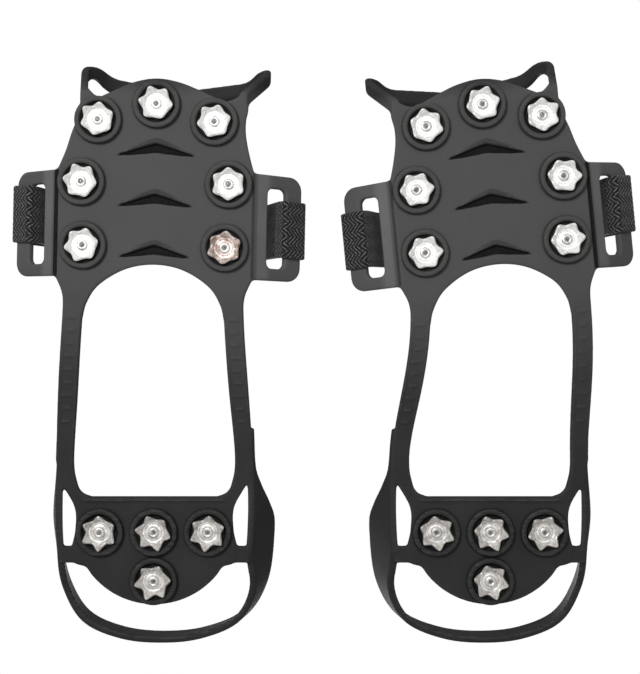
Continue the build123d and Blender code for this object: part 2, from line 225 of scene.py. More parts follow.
def placed(foot, points):
    """Points (u, y, z) of one cleat in the frame, in metres."""
    points = np.asarray(points, float)
    middle_x, reference_y = heel_place(foot)
    pivot_y = YAW_PIVOTS_Y[foot]
    part_way = np.clip((points[:, 1] - YAW_NONE_Y) / (YAW_FULL_Y - YAW_NONE_Y), 0, 1)
    turn = YAWS[foot] * part_way * part_way * (3 - 2 * part_way)
    across = -SIDES[foot] * points[:, 0]
    ahead = points[:, 1] - pivot_y
    x = middle_x + across * np.cos(turn) - ahead * np.sin(turn)
    y = reference_y + pivot_y + across * np.sin(turn) + ahead * np.cos(turn)
    return np.stack([x, y, points[:, 2]], axis=1) * MM


def mirrored(points):
    return [(-u, y) for u, y in points]


def stud_names():
    """The places of the studs, as in the CAD nodes' names."""
    start = "right_stud_"
    return sorted(name[len(start):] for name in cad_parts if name.startswith(start))


def stud_place(foot, name):
    """The middle of a stud in the frame, in metres."""
    low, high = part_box(f"{foot}_stud_{name}")
    return (low + high) / 2


# ---------------------------------------------------------------- curves


def smooth(points, steps=8):
    """A smooth curve through the points, as an array."""
    points = np.asarray(points, float)
    ends = np.vstack([2 * points[0] - points[1], points, 2 * points[-1] - points[-2]])
    out = []
    for before, start, end, after in zip(ends, ends[1:], ends[2:], ends[3:]):
        for t in np.arange(steps) / steps:
            out.append(
                0.5
                * (
                    2 * start
                    + (end - before) * t
                    + (2 * before - 5 * start + 4 * end - after) * t * t
                    + (3 * start - before - 3 * end + after) * t**3
                )
            )
    return np.vstack([out, points[-1]])


def filleted(points, radius, steps=8):
    """A polyline with an arc at each inner corner."""
    points = np.asarray(points, float)
    out = [points[0]]
    for before, corner, after in zip(points, points[1:], points[2:]):
        back = (before - corner) / np.linalg.norm(before - corner)
        on = (after - corner) / np.linalg.norm(after - corner)
        half = math.acos(np.clip(back @ on, -1, 1)) / 2
        bisector = (back + on) / np.linalg.norm(back + on)
        centre = corner + bisector * radius / math.sin(half)
        first = corner + back * radius / math.tan(half) - centre
        last = corner + on * radius / math.tan(half) - centre
        for t in np.arange(steps + 1) / steps:
            spoke = first * (1 - t) + last * t
            out.append(centre + spoke / np.linalg.norm(spoke) * radius)
    return np.vstack([out, points[-1]])


def resampled(line, step):
    """The line with points a given step apart."""
    line = np.asarray(line, float)
    runs = np.linalg.norm(np.diff(line, axis=0), axis=1)
    along = np.concatenate([[0], np.cumsum(runs)])
    wanted = np.linspace(0, along[-1], max(int(along[-1] / step), 2))
    return np.stack([np.interp(wanted, along, line[:, k]) for k in range(line.shape[1])], axis=1)


def line_normals(line):
    """The unit normals of a line in the plane, on its left."""
    ahead = np.gradient(line, axis=0)
    ahead /= np.linalg.norm(ahead, axis=1)[:, None]
    return np.stack([-ahead[:, 1], ahead[:, 0]], axis=1)


def arc(centre, radius, start, end, steps=48):
    """Points on a circle, its angles in degrees."""
    turns = np.radians(np.linspace(start, end, steps))
    return np.asarray(centre) + radius * np.stack([np.cos(turns), np.sin(turns)], axis=1)


# ---------------------------------------------------------------- distance fields


def line_distance(line, xs, ys):
    """The distance of each grid point from a line in the plane."""
    px, py = xs[:, None], ys[None, :]
    nearest = np.full((len(xs), len(ys)), np.inf, np.float32)
    for (ax, ay), (bx, by) in zip(line, line[1:]):
        ex, ey = bx - ax, by - ay
        t = np.clip(((px - ax) * ex + (py - ay) * ey) / max(ex * ex + ey * ey, 1e-9), 0, 1)
        nearest = np.minimum(nearest, (px - ax - t * ex) ** 2 + (py - ay - t * ey) ** 2)
    return np.sqrt(nearest)


def polygon_distance(corners, xs, ys):
    """The same from a closed outline, negative inside it."""
    corners = np.asarray(corners, float)
    px, py = xs[:, None], ys[None, :]
    inside = np.zeros((len(xs), len(ys)), bool)
    for (ax, ay), (bx, by) in zip(corners, np.roll(corners, -1, axis=0)):
        if ay != by:
            inside ^= ((ay > py) != (by > py)) & (px < (bx - ax) * (py - ay) / (by - ay) + ax)
    distance = line_distance(np.vstack([corners, corners[:1]]), xs, ys)
    return np.where(inside, -distance, distance).astype(np.float32)


def box_distance(x, y, low, high, corner):
    """The distance from a rectangle with round corners."""
    half_x, half_y = (high[0] - low[0]) / 2 - corner, (high[1] - low[1]) / 2 - corner
    dx = np.abs(x - (low[0] + high[0]) / 2) - half_x
    dy = np.abs(y - (low[1] + high[1]) / 2) - half_y
    outside = np.hypot(np.maximum(dx, 0), np.maximum(dy, 0))
    return outside + np.minimum(np.maximum(dx, dy), 0) - corner


def meet(a, b, rounding):
    """What both fields hold, with a round edge."""
    a, b = a + rounding, b + rounding
    return np.minimum(np.maximum(a, b), 0) + np.hypot(np.maximum(a, 0), np.maximum(b, 0)) - rounding


def join(a, b, fillet):
    """What either field holds, with a fillet."""
    share = np.clip(0.5 + 0.5 * (b - a) / fillet, 0, 1)
    return b + (a - b) * share - fillet * share * (1 - share)


def cut(a, b, fillet):
    """The first field without the second."""
    return -join(-a, b, fillet)


class Grid:
    """The solid's distance field, changed one block at a time."""

    def __init__(self):
        self.axes = [np.arange(a, b, VOXEL, dtype=np.float32) for a, b in zip(GRID_LOW, GRID_HIGH)]
        self.field = np.full([len(axis) for axis in self.axes], FAR, np.float32)

    def block(self, *ranges):
        """The slices of a box of the grid, and its coordinates."""
        spans = [slice(*np.searchsorted(axis, ends)) for axis, ends in zip(self.axes, ranges)]
        u, y, z = (axis[span] for axis, span in zip(self.axes, spans))
        return tuple(spans), u[:, None, None], y[None, :, None], z[None, None, :]

    def add(self, spans, shape, fillet):
        self.field[spans] = join(self.field[spans], shape, fillet)

    def cut(self, spans, shape, fillet):
        self.field[spans] = cut(self.field[spans], shape, fillet)


def flat_outline():
    """The closed outline of the flat rubber."""
    end_angle = math.degrees(math.atan2(HEEL_STRAND[-1][1] - HEEL_ARC_CENTRE_Y, HEEL_STRAND[-1][0]))
    curves = [
        smooth(NOSE),
        smooth(INNER_ROOT),
        smooth(INNER_SIDE),
        smooth(LONG_ARM),
        smooth(HEEL_STRAND),
        arc((0, HEEL_ARC_CENTRE_Y), HEEL_ARC_RADIUS, end_angle, -180 - end_angle),
        smooth(mirrored(HEEL_STRAND)[::-1]),
        smooth(mirrored(LONG_ARM)[::-1]),
        smooth(OUTER_SIDE),
        smooth(OUTER_ROOT),
    ]
    return np.vstack(curves)


def window_outline():
    arch = [*WINDOW_ARCH, *mirrored(WINDOW_ARCH[:-1])[::-1]]
    return np.vstack([smooth(arch), smooth(mirrored(WINDOW_SIDE)[::-1]), smooth(WINDOW_SIDE)])


def soft_step(x, edge, softness):
    """0 below the edge and 1 above it."""
    t = np.clip((x - edge) / softness + 0.5, 0, 1)
    return t * t * (3 - 2 * t)


def chevron_relief(u, y, end_y, half_width):
    """How far the ground side stands out (-) or in (+) round one chevron."""
    t = np.sqrt(u * u + 0.8) / half_width
    inside = np.clip(1 - t, 0, 1)
    edge = end_y + CHEVRON_RISE * inside**0.9
    floor = end_y + CHEVRON_ARC_RISE * inside**1.6
    facet = edge + CHEVRON_FACET * np.clip(1 - t / 0.85, 0, 1) ** 0.8
    depth = np.clip((y - floor) / np.maximum(edge - floor, 0.2), 0, 1) ** 0.35
    recess = depth * soft_step(edge - y, 0.0, CHEVRON_SOFTNESS) * np.minimum(inside * 6, 1)
    lip = np.clip((facet - y) / np.maximum(facet - edge, 0.2), 0, 1)
    lip = lip * soft_step(y - edge, 0.0, CHEVRON_SOFTNESS)
    raised = (0.4 * np.minimum(lip * 6, 1) + 0.6 * lip) * np.minimum(inside * 3, 1)
    return CHEVRON_DEPTH * recess - CHEVRON_LIP * raised * (facet > edge + 0.05)


def chevrons(u, y):
    """The relief of all the chevrons."""
    return sum(
        chevron_relief(u, y, end_y, half_width)
        for end_y, half_width in zip(CHEVRON_ENDS_Y, CHEVRON_HALF_WIDTHS)
    )


def arm_middle(y):
    """The middle of the inner long arm at y."""
    outer = smooth(LONG_ARM)[::-1]
    inner = smooth(WINDOW_SIDE)
    return (np.interp(y, outer[:, 1], outer[:, 0]) + np.interp(y, inner[:, 1], inner[:, 0])) / 2


def ground_side(u, y):
    """The height of the plate's ground side over the plan."""
    relief = chevrons(u, y)
    for index in range(RIB_COUNT):
        middle_y = RIB_FIRST_Y + index * RIB_PITCH
        half_length = RIB_HALF_LENGTHS[index % len(RIB_HALF_LENGTHS)]
        across = np.abs(np.abs(u) - arm_middle(middle_y))
        ahead = np.abs(y - middle_y)
        rib = soft_step(-across, -half_length, 0.9) * soft_step(-ahead, -RIB_HALF_WIDTH, 0.9)
        frame_line = soft_step(-np.abs(across - RIB_FRAME_OUT), -0.45, 0.7)
        frame_line = frame_line * (ahead <= abs(RIB_PITCH) / 2)
        relief = relief - RIB_HEIGHT * rib - RIB_FRAME_HEIGHT * frame_line
    lip = np.exp(-(((y - HEEL_LIP_Y) / HEEL_LIP_SPREAD) ** 2))
    lip = lip * soft_step(-np.abs(u), -HEEL_LIP_HALF_LENGTH, 3.0)
    return SOLE_Z + relief - HEEL_LIP_HEIGHT * lip


def add_plate(grid):
    spans, u, y, z = grid.block((-52, 52), (-132, 128), (2.4, 13))
    flat_u, flat_y = u[:, 0, 0], y[0, :, 0]
    plan = np.maximum(
        polygon_distance(flat_outline(), flat_u, flat_y),
        -polygon_distance(window_outline(), flat_u, flat_y),
    )
    low = ground_side(flat_u[:, None], flat_y[None, :])
    layer = np.maximum(low[:, :, None] - z, z - FOOT_Z)
    grid.field[spans] = meet(plan[:, :, None], layer, EDGE_ROUNDING)


def add_toe_band(grid):
    spans, u, y, z = grid.block((-52, 60), (100, 146), (4.4, 67.2))
    front_line = filleted(TOE_FRONT_LINE, TOE_FILLET)
    side_line = filleted(TOE_SIDE_LINE, TOE_FILLET)
    from_front = line_distance(front_line, u[:, 0, 0], z[0, 0, :]) - TOE_HALF_THICKNESS
    from_side = line_distance(side_line, y[0, :, 0], z[0, 0, :]) - TOE_HALF_WIDTH
    band = meet(from_front[:, None, :], from_side[None, :, :], 1.3)
    grid.add(spans, meet(band, SOLE_Z - z, 0.8), 0.3 + 2.4 * soft_step(z, 9.0, 3.0))


def add_heel_band(grid):
    spans, u, y, z = grid.block((-73, 73), (-160, -40), (4.4, 54))
    rims = []
    for rim in (HEEL_LOW, HEEL_HIGH):
        rims.append(polygon_distance(smooth(rim), u[:, 0, 0], y[0, :, 0])[:, :, None])
    lean = z / HEEL_LINE_Z
    outside = rims[0] * (1 - lean) + rims[1] * lean
    wall = np.abs(outside + HEEL_THICKNESS / 2) - HEEL_THICKNESS / 2
    lower = np.vstack([HEEL_LOWER_EDGE[:2], smooth(HEEL_LOWER_EDGE[2:])])
    upper = smooth(HEEL_UPPER_EDGE)
    side = polygon_distance(np.vstack([lower, upper]), y[0, :, 0], z[0, 0, :])
    fillet = 0.1 + 1.9 * soft_step(-y, 68.0, 16.0)
    grid.add(spans, meet(wall, side[None, :, :], 1.2), fillet)
    near, far = (WING_NEAR_U, WING_REAR_Y), (WING_FAR_U, WING_FRONT_Y)
    layer = np.abs(z - MIDDLE_Z) - (FOOT_Z - SOLE_Z) / 2
    for sign in (-1, 1):
        wing = box_distance(sign * u, y, near, far, 1.0)
        grid.add(spans, meet(wing, layer, EDGE_ROUNDING), 1.4)


def add_ears(grid):
    cosine, sine = math.cos(EAR_ANGLE), math.sin(EAR_ANGLE)
    slot_corners = (SLOT_START, SLOT_REAR_Y), (SLOT_END, SLOT_FRONT_Y)
    for sign, ends in ((1, (43, 73)), (-1, (-73, -43))):
        spans, u, y, z = grid.block(ends, (22, 86), (4.4, 28))
        along = (sign * u - HINGE_U) * cosine + (z - MIDDLE_Z) * sine
        above = -(sign * u - HINGE_U) * sine + (z - MIDDLE_Z) * cosine
        plan = box_distance(along, y, (-16, EAR_REAR_Y), (EAR_LENGTH, EAR_FRONT_Y), EAR_CORNER)
        slot = box_distance(along, y, *slot_corners, SLOT_CORNER)
        plan = np.maximum(np.maximum(plan, -slot), -0.6 - along)
        ear = meet(plan, np.abs(above) - (FOOT_Z - SOLE_Z) / 2, 1.0)
        grid.add(spans, ear, 1.6)
        from_line = np.hypot(sign * u - HINGE_U - GROOVE_SHIFT, z - SOLE_Z + 0.15)
        beyond_ends = np.abs(y - (EAR_FRONT_Y + EAR_REAR_Y) / 2) - GROOVE_HALF_LENGTH
        groove = np.maximum(from_line - GROOVE_RADIUS, beyond_ends)
        grid.cut(spans, groove, 0.3)


def add_bosses(grid, places):
    reach = BOSS_RADIUS + 3
    for place in places:
        place_u, place_y = place
        around = [(middle - reach, middle + reach) for middle in place]
        spans, u, y, z = grid.block(*around, (2, 12))
        radius = np.hypot(u - place_u, y - place_y)
        half_height = (MIDDLE_Z - BOSS_FACE_Z) / 2
        boss = meet(radius - BOSS_RADIUS, np.abs(z - BOSS_FACE_Z - half_height) - half_height, 0.7)
        grid.add(spans, boss, 0.4)
        depth = (z - BOSS_FACE_Z) / (DISH_FLOOR_Z - BOSS_FACE_Z)
        dish_radius = DISH_RADIUS + (DISH_FLOOR_RADIUS - DISH_RADIUS) * depth
        grid.cut(spans, np.maximum(radius - dish_radius, z - DISH_FLOOR_Z), 0.5)
        grid.cut(spans, np.maximum(radius - WASHER_SEAT_RADIUS, WASHER_SEAT_Z - z), 0.3)
        grid.cut(spans, radius - RIVET_HOLE_RADIUS, 0.2)


def stud_plan():
    """The places of the studs in a cleat's own plan; those in front of its middle are turned."""
    middle_x, reference_y = heel_place("right")
    places = []
    for name in stud_names():
        place = stud_place("right", name) / MM
        turn = YAWS["right"] if place.y > reference_y else 0.0
        across = place.x - middle_x
        ahead = place.y - reference_y - YAW_PIVOTS_Y["right"]
        u = -across * math.cos(turn) - ahead * math.sin(turn)
        y = YAW_PIVOTS_Y["right"] - across * math.sin(turn) + ahead * math.cos(turn)
        places.append((u, y))
    return places


def rubber_painted_light(points):
    """Painted light and shade on the rubber: a painted sheen makes it 1 on the forefoot and less
    behind it, painted light makes it more on the ears, it is a little less on the bosses, painted
    shade darkens the dishes, the groove and the chevron facets, and painted shade makes it 0 in a
    recess."""
    u, y, z = points.T
    # Painted sheen: the forefoot paler than the arms and the heel.
    tone = 0.4 + 0.6 * soft_step(y, 0.0, 80.0) * soft_step(-y, -121.0, 12.0)
    # A little darker on the bosses, and painted shade in each dish round the stud.
    for place_u, place_y in stud_plan():
        radius = np.hypot(u - place_u, y - place_y)
        on_boss = soft_step(-radius, -BOSS_RADIUS, 0.8)
        dish_shade = soft_step(-radius, -DISH_PAINTED_SHADE_RADIUS, 0.8)
        tone *= 1 - 0.2 * on_boss - 0.5 * dish_shade
    ground = z < MIDDLE_Z + 0.7
    # Painted shade: black in each chevron's recess and darker on the sloping facet above its edge.
    relief = chevrons(u, y) * ground
    recess = np.clip(2 * relief / CHEVRON_DEPTH, 0, 1)
    facet = np.clip(-2 * relief / CHEVRON_LIP, 0, 1)
    beside_ear = (y > EAR_REAR_Y) * (y < EAR_FRONT_Y)
    from_fold = np.abs(u) - HINGE_U
    # Painted shade along the groove at the ear's fold, darker on the outer side.
    groove = (np.abs(from_fold - GROOVE_SHIFT) < 0.9) * beside_ear * ground
    groove = groove * np.where(u < 0, 1.0, 0.4)
    # Painted light: the ears paler than the plate beside them.
    ear = 0.14 + 0.22 * soft_step(-from_fold, -7.5, 4.0)
    ear = ear * soft_step(from_fold, 1.8, 1.6) * beside_ear
    return np.clip(tone + ear - 1.3 * recess - 0.4 * facet - groove, 0, 1.4)


def harness_surface():
    """The harness of a right foot as points (u, y, z) and faces."""
    grid = Grid()
    add_plate(grid)
    add_toe_band(grid)
    add_heel_band(grid)
    add_ears(grid)
    add_bosses(grid, stud_plan())
    volume = openvdb.FloatGrid()
    volume.background = FAR
    volume.copyFromArray(np.clip(grid.field, -FAR, FAR))
    points, triangles, quads = volume.convertToPolygons(0.0, 0.0)
    points = np.asarray(points, float) * VOXEL + np.array(GRID_LOW)
    return points, [*triangles.tolist(), *quads.tolist()]


# ---------------------------------------------------------------- meshes


def mesh_piece(name, points, faces, material):
    """A mesh object from points in metres, its faces turned outwards."""
    mesh = bpy.data.meshes.new(name)
    mesh.from_pydata(np.asarray(points).tolist(), [], faces)
    mesh.validate()
    mesh.calc_loop_triangles()
    corners = np.zeros(len(mesh.loop_triangles) * 3, np.int32)
    mesh.loop_triangles.foreach_get("vertices", corners)
    place = np.asarray(points, float)[corners].reshape(-1, 3, 3)
    if np.einsum("ij,ij->i", place[:, 0], np.cross(place[:, 1], place[:, 2])).sum() < 0:
        mesh.flip_normals()
    mesh.polygons.foreach_set("use_smooth", [True] * len(mesh.polygons))
    mesh.materials.append(material)
    piece = bpy.data.objects.new(name, mesh)
    bpy.context.scene.collection.objects.link(piece)
    return piece


def mark_values(mesh, name, values):
    attribute = mesh.attributes.new(name, "FLOAT", "POINT")
    attribute.data.foreach_set("value", np.asarray(values, np.float32))


def mark_wear_and_hollow_shade(mesh):
    """Stores how sharply the surface bends outwards at each vertex, for wear along the edges and
    for painted shade in the hollows, where it bends inwards.
    """
    count = len(mesh.vertices)
    place = np.zeros(count * 3)
    normal = np.zeros(count * 3)
    ends = np.zeros(len(mesh.edges) * 2, np.int32)
    mesh.vertices.foreach_get("co", place)
    mesh.vertices.foreach_get("normal", normal)
    mesh.edges.foreach_get("vertices", ends)
    place, normal, ends = place.reshape(-1, 3), normal.reshape(-1, 3), ends.reshape(-1, 2)
    along = place[ends[:, 1]] - place[ends[:, 0]]
    turned = normal[ends[:, 1]] - normal[ends[:, 0]]

    def gathered_at_ends(values):
        return sum(np.bincount(ends[:, side], values, count) for side in (0, 1))

    bend = gathered_at_ends((turned * along).sum(1))
    wear = bend / np.maximum(gathered_at_ends((along * along).sum(1)), 1e-12) * MM
    number = np.maximum(gathered_at_ends(np.ones(len(ends))), 1)
    for _ in range(WEAR_SMOOTHINGS):
        beside = [np.bincount(ends[:, side], wear[ends[:, 1 - side]], count) for side in (0, 1)]
        wear = 0.5 * wear + 0.5 * sum(beside) / number
    mark_values(mesh, "wear", np.clip(wear, -1, 1))


def lathe(profile, segments=36):
    """Points and faces of a closed profile (radius, z) turned about the z axis."""
    points, faces = [], []
    count = len(profile)
    for turn in np.arange(segments) / segments * 2 * math.pi:
        points.extend((r * math.cos(turn), r * math.sin(turn), z) for r, z in profile)
    for ring in range(segments):
        here, there = ring * count, (ring + 1) % segments * count
        for index in range(count):
            after = (index + 1) % count
            faces.append([here + index, here + after, there + after, there + index])
    return np.array(points), faces


def gathered(parts):
    """Several (points, faces) as one."""
    points, faces, first = [], [], 0
    for part_points, part_faces in parts:
        points.append(part_points)
        faces.extend([[corner + first for corner in face] for face in part_faces])
        first += len(part_points)
    return np.vstack(points), faces


# ---------------------------------------------------------------- materials


class Shader:
    """A material's nodes, with short helpers."""

    def __init__(self, name, **values):
        self.material = bpy.data.materials.new(name)
        self.material.use_nodes = True
        self.tree = self.material.node_tree
        self.principled = next(n for n in self.tree.nodes if n.type == "BSDF_PRINCIPLED")
        for socket, value in values.items():
            self.principled.inputs[socket.replace("_", " ")].default_value = value
        self.place = self.node("ShaderNodeTexCoord").outputs["Object"]

    def node(self, kind, **settings):
        node = self.tree.nodes.new(kind)
        for name, value in settings.items():
            setattr(node, name, value)
        return node

    def link(self, source, target):
        self.tree.links.new(source, target)

    def noise(self, scale, detail=4.0, roughness=0.55, stretch=None, source=None):
        source = source or self.place
        if stretch:
            mapping = self.node("ShaderNodeMapping")
            mapping.inputs["Scale"].default_value = stretch
            self.link(source, mapping.inputs["Vector"])
            source = mapping.outputs["Vector"]
        node = self.node("ShaderNodeTexNoise")
        node.inputs["Scale"].default_value = scale
        node.inputs["Detail"].default_value = detail
        node.inputs["Roughness"].default_value = roughness
        self.link(source, node.inputs["Vector"])
        return node.outputs["Fac"]

    def ranged(self, source, low, high, to_low=0.0, to_high=1.0):
        node = self.node("ShaderNodeMapRange")
        values = {"From Min": low, "From Max": high, "To Min": to_low, "To Max": to_high}
        for socket, value in values.items():
            node.inputs[socket].default_value = value
        self.link(source, node.inputs["Value"])
        return node.outputs["Result"]

    def maths(self, operation, first, second=None):
        node = self.node("ShaderNodeMath", operation=operation)
        for index, value in enumerate((first, second)):
            if value is None:
                continue
            if isinstance(value, (int, float)):
                node.inputs[index].default_value = value
            else:
                self.link(value, node.inputs[index])
        return node.outputs["Value"]

    def mixed(self, share, first, second):
        """A colour between two, each a tuple or an output."""
        node = self.node("ShaderNodeMix", data_type="RGBA")
        self.link(share, node.inputs["Factor"])
        for index, value in ((6, first), (7, second)):
            if isinstance(value, tuple):
                node.inputs[index].default_value = (*value, 1)
            else:
                self.link(value, node.inputs[index])
        return node.outputs[2]

    def attribute(self, name, output="Fac"):
        return self.node("ShaderNodeAttribute", attribute_name=name).outputs[output]

    def bump(self, height, distance, after=None):
        node = self.node("ShaderNodeBump")
        node.inputs["Distance"].default_value = distance
        node.inputs["Strength"].default_value = 1.0
        self.link(height, node.inputs["Height"])
        if after:
            self.link(after, node.inputs["Normal"])
        return node.outputs["Normal"]

    def finish(self, colour, roughness, normal):
        self.link(colour, self.principled.inputs["Base Color"])
        self.link(roughness, self.principled.inputs["Roughness"])
        self.link(normal, self.principled.inputs["Normal"])
        return self.material


def rubber_material():
    """Moulded black rubber: matt, with a fine grain, cloudy patches, scuffs, paler edges, painted
    shade in the hollows, and the painted light and shade carried by its tone attribute.
    """
    s = Shader("moulded_rubber", Specular_IOR_Level=0.08)
    clouds = s.noise(38, detail=5)
    grain = s.noise(2600, detail=3)
    scuffs = s.noise(150, detail=6, roughness=0.7, stretch=(1.0, 6.0, 1.0))
    wear = s.attribute("wear")
    # The tone attribute holds painted light and shade: a painted sheen on the forefoot, painted
    # light on the ears, painted shade in the dishes, along the groove and in and above the
    # chevrons.
    tone = s.maths("ADD", s.attribute("tone"), s.ranged(clouds, 0.3, 0.7, -0.07, 0.07))
    colour = s.mixed(s.ranged(tone, 0.0, 0.4), (0.0035, 0.0035, 0.0035), (0.0225, 0.0221, 0.0219))
    colour = s.mixed(s.ranged(tone, 0.4, 1.0), colour, (0.064, 0.063, 0.0625))
    colour = s.mixed(s.ranged(tone, 1.1, 1.4), colour, (0.115, 0.114, 0.113))
    colour = s.mixed(s.ranged(grain, 0.45, 0.8, 0, 0.25), colour, (0.07, 0.069, 0.068))
    edge = s.maths("MULTIPLY", s.ranged(wear, 0.12, 0.6, 0, 0.7), s.ranged(scuffs, 0.4, 0.65))
    colour = s.mixed(edge, colour, (0.09, 0.088, 0.086))
    # Painted shade: darker where the surface bends inwards, in the hollows.
    hollow_shade = s.ranged(wear, -0.5, -0.1, 0.75, 0.0)
    colour = s.mixed(hollow_shade, colour, (0.006, 0.006, 0.006))
    roughness = s.maths(
        "ADD", s.ranged(clouds, 0.3, 0.7, 0.66, 0.76), s.ranged(scuffs, 0.5, 0.75, 0.0, 0.14)
    )
    normal = s.bump(grain, 0.000025)
    normal = s.bump(scuffs, 0.00005, after=normal)
    return s.finish(colour, roughness, normal)


def steel_material(name, bright, dull, roughness_low, rust=None, metallic=0.62):
    """Plated steel with scratches, dull patches and perhaps rust."""
    s = Shader(name, Metallic=metallic)
    patches = s.noise(420, detail=6, roughness=0.65)
    scratches = s.noise(900, detail=5, stretch=(1.0, 9.0, 3.0))
    pits = s.noise(3200, detail=2)
    colour = s.mixed(s.ranged(patches, 0.42, 0.68), bright, dull)
    if rust:
        spots = s.noise(330, detail=7, roughness=0.7)
        colour = s.mixed(s.ranged(spots, 0.44, 0.58), colour, rust)
    colour = s.mixed(s.ranged(pits, 0.62, 0.75, 0, 0.5), colour, tuple(0.5 * c for c in dull))
    roughness = s.maths(
        "ADD",
        s.ranged(patches, 0.35, 0.7, roughness_low, roughness_low + 0.2),
        s.ranged(scratches, 0.5, 0.7, 0.0, 0.15),
    )
    normal = s.bump(scratches, 0.00004)
    normal = s.bump(pits, 0.00005, after=normal)
    return s.finish(colour, roughness, normal)


def webbing_material():
    """Black herringbone webbing with a few pale threads and painted shade in the valleys of its
    weave;
    "weave" is (along, across) in mm.
    """
    s = Shader("black_webbing", Sheen_Weight=0.12, Sheen_Roughness=0.5, Specular_IOR_Level=0.2)
    weave = s.attribute("weave", "Vector")
    split = s.node("ShaderNodeSeparateXYZ")
    s.link(weave, split.inputs["Vector"])
    along, across = split.outputs["X"], split.outputs["Y"]
    folded = s.maths("PINGPONG", across, HERRINGBONE_ROW)
    diagonal = s.maths("DIVIDE", s.maths("ADD", along, folded), HERRINGBONE_PITCH)
    ridge = s.maths("ABSOLUTE", s.maths("SINE", s.maths("MULTIPLY", diagonal, math.pi)))
    against = s.maths("MULTIPLY", s.maths("SUBTRACT", along, folded), YARN_PHASE)
    yarns = s.maths("ABSOLUTE", s.maths("SINE", against))
    threads = s.noise(2.2, detail=3, source=weave)
    fuzz = s.noise(1800, detail=3)
    # The herringbone in the colour is painted shade: darker in the valleys between the ridges.
    colour = s.mixed(s.ranged(ridge, 0.2, 0.95), (0.002, 0.002, 0.0022), (0.014, 0.014, 0.0155))
    flecks = s.maths("MULTIPLY", s.ranged(threads, 0.48, 0.6), s.ranged(ridge, 0.7, 0.95))
    flecks = s.maths("MULTIPLY", flecks, s.ranged(yarns, 0.4, 0.8))
    colour = s.mixed(flecks, colour, (0.3, 0.3, 0.305))
    normal = s.bump(yarns, 0.00009)
    normal = s.bump(fuzz, 0.00008, after=normal)
    return s.finish(colour, s.ranged(ridge, 0, 1, 0.9, 0.68), normal)


def pile_material():
    """The looped side of hook-and-loop tape: soft, tangled and matt."""
    s = Shader("loop_pile", Sheen_Weight=0.6, Sheen_Roughness=0.6, Specular_IOR_Level=0.15)
    tangles = s.noise(1500, detail=6, roughness=0.75)
    patches = s.noise(160, detail=4)
    colour = s.mixed(s.ranged(tangles, 0.35, 0.7), (0.006, 0.006, 0.007), (0.045, 0.045, 0.048))
    colour = s.mixed(s.ranged(patches, 0.4, 0.8, 0, 0.4), colour, (0.06, 0.06, 0.062))
    return s.finish(colour, s.ranged(tangles, 0.3, 0.7, 0.95, 0.8), s.bump(tangles, 0.0003))


def hook_material():
    """The hooked side: nylon with rows of tiny hooks."""
    s = Shader("hook_tape_nylon", Specular_IOR_Level=0.4)
    grit = s.noise(2400, detail=3)
    patches = s.noise(200, detail=4)
    colour = s.mixed(s.ranged(grit, 0.4, 0.7), (0.008, 0.008, 0.009), (0.035, 0.035, 0.037))
    roughness = s.ranged(patches, 0.3, 0.7, 0.35, 0.55)
    return s.finish(colour, roughness, s.bump(grit, 0.0001))


def thread_material():
    s = Shader("sewing_thread", Sheen_Weight=0.3, Specular_IOR_Level=0.3)
    twist = s.noise(5200, detail=2, stretch=(1.0, 3.0, 1.0))
    tone = s.noise(900, detail=3)
    colour = s.mixed(s.ranged(tone, 0.35, 0.7), (0.03, 0.03, 0.032), (0.075, 0.075, 0.078))
    return s.finish(colour, s.ranged(tone, 0.3, 0.7, 0.6, 0.8), s.bump(twist, 0.00005))


# ---------------------------------------------------------------- studs and rivets

CLAWS = 6
CLAW_WEAR = 0.5
# How far the claws reach, how deep the notches are, and 1 for pointed claws to 2 for round ones
FOREFOOT_CLAWS = (8.0, 1.6, 1.75)
HEEL_CLAWS = (8.4, 2.2, 1.5)
HUB_RADIUS = 5.2
HUB_HOLE = 2.0
HUB_GROOVE_RADIUS = 4.0
CLAW_TIP_Z = 0.45
STEPS_A_CLAW = 26
STUD_RINGS = 14
RIM_THINNING = 0.72
STUD_BEVEL = 0.12


def petal_radius(turn, claws, wear):
    """The stud's outline: six blunt claws, each worn a little."""
    reach, depth, bluntness = claws
    phase = CLAWS * turn
    notch = abs(math.sin(phase / 2)) ** bluntness
    return reach - depth * notch - wear[round(phase / (2 * math.pi)) % CLAWS] * (1 - notch)


def stud_height(radius, reach):
    """The middle of the sheet: a hub with a faint ring in it, then bent down to the ground."""
    bend = max(0.0, radius - HUB_RADIUS) / (reach - HUB_RADIUS)
    groove = 0.2 * math.exp(-(((radius - HUB_GROOVE_RADIUS) / 0.35) ** 2))
    return HUB_Z + groove - (HUB_Z - CLAW_TIP_Z) * bend**1.2


